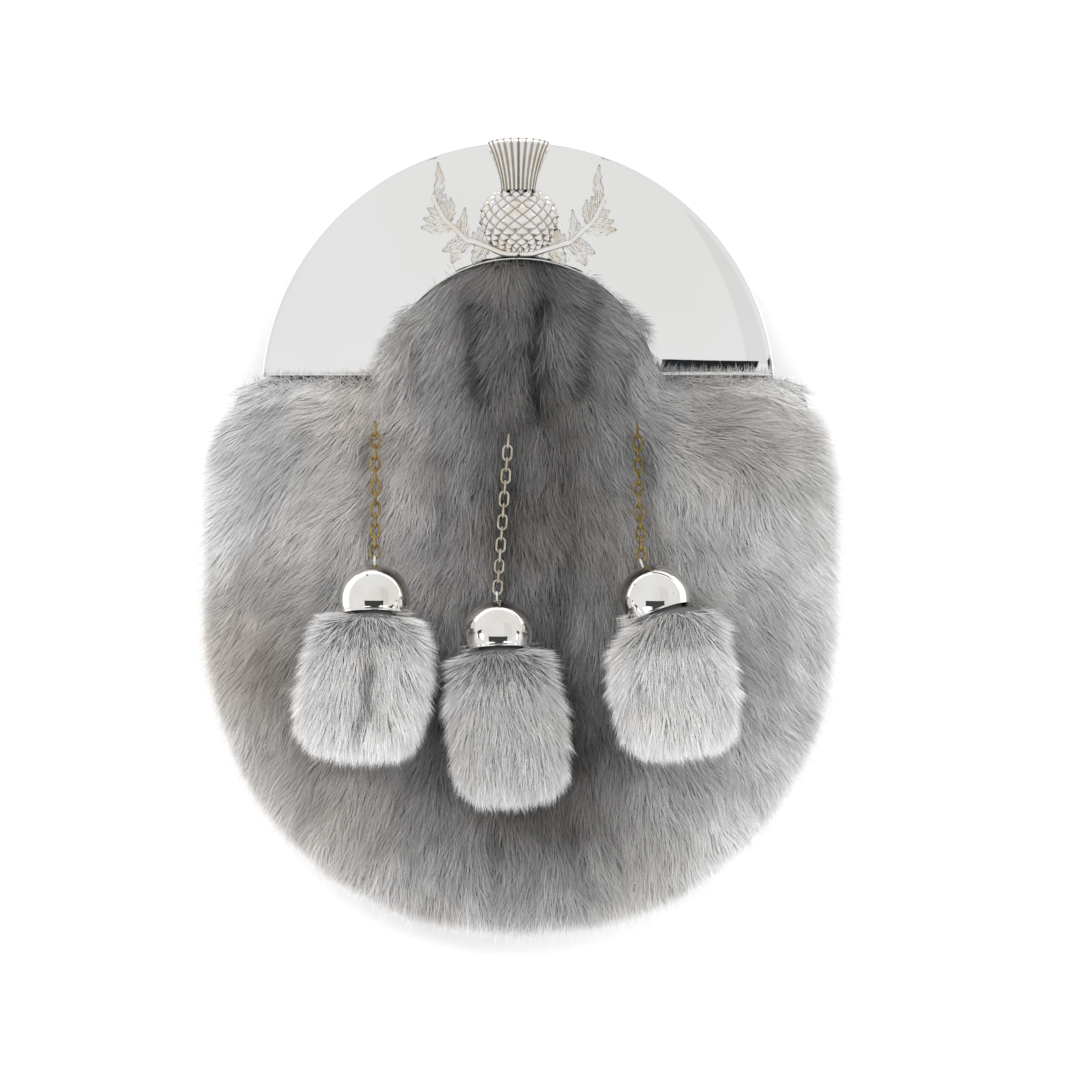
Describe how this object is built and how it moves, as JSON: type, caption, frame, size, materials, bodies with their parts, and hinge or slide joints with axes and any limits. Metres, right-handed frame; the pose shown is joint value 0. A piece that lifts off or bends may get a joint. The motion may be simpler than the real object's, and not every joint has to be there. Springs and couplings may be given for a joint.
{
  "type": "sporran pouch",
  "caption": "Highland dress sporran: leather pouch with a deep fur front, an arched silver cantle with a thistle badge, and fur tassels hung on short chains",
  "frame": {"origin": "centre of the bounding box, on the surface that the sporran lies on", "axes": "+X to the right of the front, +Y to the top of the cantle, +Z out of the front, which faces up"},
  "size_m": [0.2012, 0.2495, 0.0772],
  "materials": {
    "polished_silver": "mirror polish",
    "cast_silver": "polished casting",
    "ball_silver": "mirror polish with small pits",
    "silver_fur": "dense short fur",
    "tassel_fur": "dense short fur, lighter",
    "black_leather": "satin grain",
    "brass_chain": "antique",
    "nickel_chain": "worn nickel"
  },
  "bodies": {
    "root": {"cantle": "polished_silver", "thistle_badge": "cast_silver", "fur_front": "silver_fur", "gusset": "black_leather", "back_panel": "black_leather", "belt_loop_left": "black_leather", "belt_loop_right": "black_leather", "ball_left": "ball_silver", "tassel_left": "tassel_fur", "chain_left_01": "brass_chain", "chain_left_02": "brass_chain", "chain_left_03": "brass_chain", "chain_left_04": "brass_chain", "chain_left_05": "brass_chain", "chain_left_06": "brass_chain", "chain_left_07": "brass_chain", "chain_left_08": "brass_chain", "chain_left_09": "brass_chain", "chain_left_10": "brass_chain", "chain_left_11": "brass_chain", "chain_left_12": "brass_chain", "ball_middle": "ball_silver", "tassel_middle": "tassel_fur", "chain_middle_01": "nickel_chain", "chain_middle_02": "nickel_chain", "chain_middle_03": "nickel_chain", "chain_middle_04": "nickel_chain", "chain_middle_05": "nickel_chain", "chain_middle_06": "nickel_chain", "chain_middle_07": "nickel_chain", "chain_middle_08": "nickel_chain", "chain_middle_09": "nickel_chain", "chain_middle_10": "nickel_chain", "chain_middle_11": "nickel_chain", "chain_middle_12": "nickel_chain", "chain_middle_13": "nickel_chain", "chain_middle_14": "nickel_chain", "ball_right": "ball_silver", "tassel_right": "tassel_fur", "chain_right_01": "brass_chain", "chain_right_02": "brass_chain", "chain_right_03": "brass_chain", "chain_right_04": "brass_chain", "chain_right_05": "brass_chain", "chain_right_06": "brass_chain", "chain_right_07": "brass_chain", "chain_right_08": "brass_chain", "chain_right_09": "brass_chain", "chain_right_10": "brass_chain", "chain_right_11": "brass_chain", "chain_right_12": "brass_chain"}
  },
  "joints": []
}
